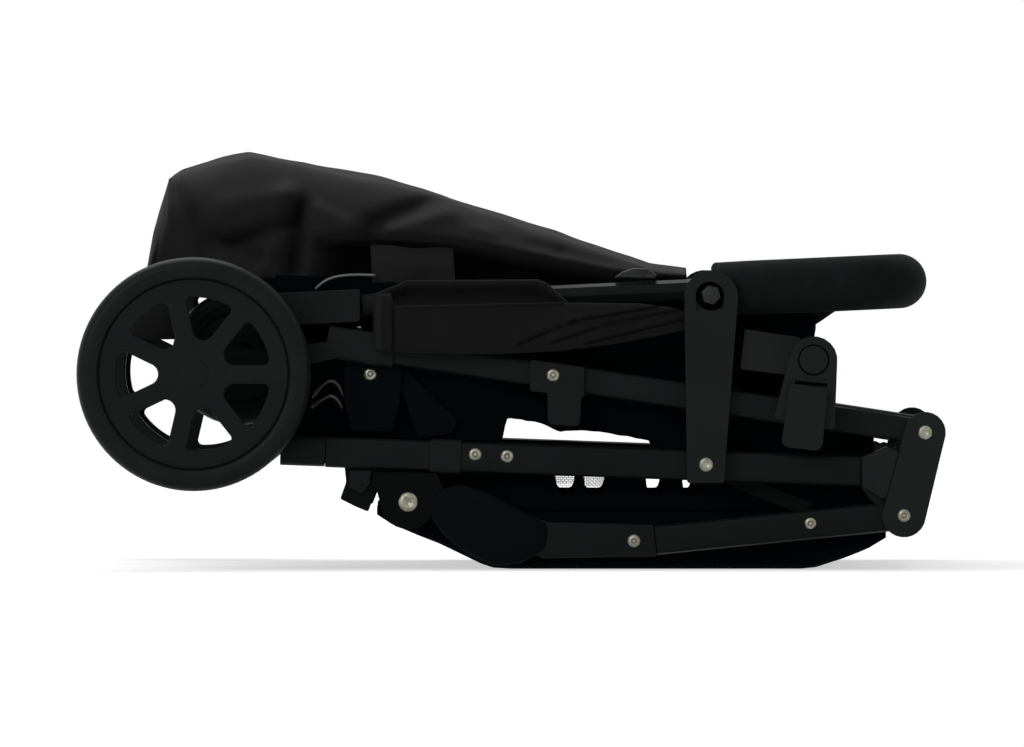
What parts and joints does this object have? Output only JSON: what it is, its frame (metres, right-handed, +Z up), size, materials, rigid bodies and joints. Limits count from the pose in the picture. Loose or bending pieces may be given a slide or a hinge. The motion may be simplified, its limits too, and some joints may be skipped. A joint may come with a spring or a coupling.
{
  "type": "double stroller",
  "caption": "Side-by-side double stroller in its folded state, lying flat, with hinged rear frame, handle, links, casters and folded fabric.",
  "frame": {"origin": "middle of the bounding box on the floor it lies on", "axes": "+X from the rear wheels to the knee brackets, +Y across the seats, +Z up"},
  "size_m": [0.7122, 0.75, 0.3384],
  "materials": {
    "painted_tube": "satin black powder coat",
    "black_plastic": "fine grained moulded",
    "tyre_foam": "smooth satin tyre",
    "grip_foam": "fine cell foam",
    "rivet_steel": "zinc plated",
    "black_fabric": "woven polyester"
  },
  "bodies": {
    "front_frame": {"front_tube_near": "painted_tube", "front_tube_far": "painted_tube", "front_socket_near": "black_plastic", "front_socket_far": "black_plastic", "tube_collar_near": "black_plastic", "tube_collar_far": "black_plastic", "knee_bracket_near": "black_plastic", "knee_bracket_far": "black_plastic", "knee_pivot_near": "rivet_steel", "knee_pivot_far": "rivet_steel", "link_pivot_near": "rivet_steel", "link_pivot_far": "rivet_steel", "lower_rail_near": "painted_tube", "lower_rail_far": "painted_tube", "rail_end_near": "painted_tube", "rail_end_far": "painted_tube", "pivot_plate_near": "painted_tube", "pivot_plate_far": "painted_tube", "front_cross_tube": "painted_tube", "seat_cross_tube": "painted_tube", "centre_strut": "painted_tube", "seat_sling_near": "black_fabric", "seat_sling_far": "black_fabric", "basket_panel": "black_fabric", "caster_housing_near": "black_plastic", "caster_housing_far": "black_plastic"},
    "rear_frame": {"rear_tube_near": "painted_tube", "rear_tube_far": "painted_tube", "rear_end_near": "black_plastic", "rear_end_far": "black_plastic", "rear_cross_tube": "painted_tube", "tube_clip_near": "black_plastic", "tube_clip_far": "black_plastic", "hinge_housing_near": "black_plastic", "hinge_housing_far": "black_plastic"},
    "handle": {"handle_bar": "painted_tube", "foam_grip": "grip_foam", "handle_sleeve_near": "black_plastic", "handle_sleeve_far": "black_plastic", "side_roll_near": "black_fabric", "side_roll_far": "black_fabric", "grip_flap": "black_fabric", "canopy_near": "black_fabric", "canopy_far": "black_fabric"},
    "link_near": {"handle_link_near": "painted_tube"},
    "link_far": {"handle_link_far": "painted_tube"},
    "wheel_near": {"rear_wheel_near": "black_plastic", "rear_tyre_near": "tyre_foam"},
    "wheel_far": {"rear_wheel_far": "black_plastic", "rear_tyre_far": "tyre_foam"},
    "brake": {"brake_pedal": "black_plastic"},
    "button_near": {"release_button_near": "black_plastic"},
    "button_far": {"release_button_far": "black_plastic"},
    "lever_near": {"latch_lever_near": "black_plastic"},
    "lever_far": {"latch_lever_far": "black_plastic"},
    "caster_near": {"caster_fork_near": "black_plastic"},
    "caster_far": {"caster_fork_far": "black_plastic"},
    "caster_wheel_near": {"front_wheel_near": "tyre_foam"},
    "caster_wheel_far": {"front_wheel_far": "tyre_foam"}
  },
  "joints": [
    {"name": "rear_fold", "type": "hinge", "parent": "front_frame", "child": "rear_frame", "pos_m": [0.3391, 0, 0.1123], "axis": [0, 1, 0], "range_deg": [0, 50]},
    {"name": "handle_fold", "type": "hinge", "parent": "rear_frame", "child": "handle", "pos_m": [-0.19, 0, 0.2133], "axis": [0, -1, 0], "range_deg": [0, 60]},
    {"name": "link_swing_near", "type": "hinge", "parent": "front_frame", "child": "link_near", "pos_m": [0.1595, -0.33, 0.0861], "axis": [0, 1, 0], "range_deg": [0, 35]},
    {"name": "link_swing_far", "type": "hinge", "parent": "front_frame", "child": "link_far", "pos_m": [0.1595, 0.33, 0.0861], "axis": [0, 1, 0], "range_deg": [0, 35]},
    {"name": "wheel_spin_near", "type": "hinge", "parent": "rear_frame", "child": "wheel_near", "pos_m": [-0.2603, -0.35, 0.1603], "axis": [0, 1, 0], "continuous": true},
    {"name": "wheel_spin_far", "type": "hinge", "parent": "rear_frame", "child": "wheel_far", "pos_m": [-0.2603, 0.35, 0.1603], "axis": [0, 1, 0], "continuous": true},
    {"name": "brake_press", "type": "hinge", "parent": "rear_frame", "child": "brake", "pos_m": [-0.13647, 0, 0.18474], "axis": [0, -1, 0], "range_deg": [0, 18]},
    {"name": "button_press_near", "type": "slide", "parent": "rear_frame", "child": "button_near", "axis": [0, 1, 0], "range_m": [0, 0.003], "stiffness_N_per_m": 400},
    {"name": "button_press_far", "type": "slide", "parent": "rear_frame", "child": "button_far", "axis": [0, -1, 0], "range_m": [0, 0.003], "stiffness_N_per_m": 400},
    {"name": "lever_lift_near", "type": "hinge", "parent": "rear_frame", "child": "lever_near", "pos_m": [0.243, -0.3446, 0.1526], "axis": [-1, 0, 0], "range_deg": [0, 25], "stiffness_Nm_per_rad": 0.2},
    {"name": "lever_lift_far", "type": "hinge", "parent": "rear_frame", "child": "lever_far", "pos_m": [0.243, 0.3446, 0.1526], "axis": [1, 0, 0], "range_deg": [0, 25], "stiffness_Nm_per_rad": 0.2},
    {"name": "caster_swivel_near", "type": "hinge", "parent": "front_frame", "child": "caster_near", "pos_m": [-0.17134, -0.25, 0.13334], "axis": [0.7975, 0, -0.6033], "range_deg": [-30, 30]},
    {"name": "caster_swivel_far", "type": "hinge", "parent": "front_frame", "child": "caster_far", "pos_m": [-0.17134, 0.25, 0.13334], "axis": [0.7975, 0, -0.6033], "range_deg": [-30, 30]},
    {"name": "caster_spin_near", "type": "hinge", "parent": "caster_near", "child": "caster_wheel_near", "pos_m": [-0.2243, -0.25, 0.1734], "axis": [0, 1, 0], "continuous": true},
    {"name": "caster_spin_far", "type": "hinge", "parent": "caster_far", "child": "caster_wheel_far", "pos_m": [-0.2243, 0.25, 0.1734], "axis": [0, 1, 0], "continuous": true}
  ],
  "couplings": [
    {"joint": "handle_fold", "follows": "rear_fold", "ratio": 1.2},
    {"joint": "link_swing_near", "follows": "rear_fold", "ratio": 0.7},
    {"joint": "link_swing_far", "follows": "rear_fold", "ratio": 0.7}
  ]
}
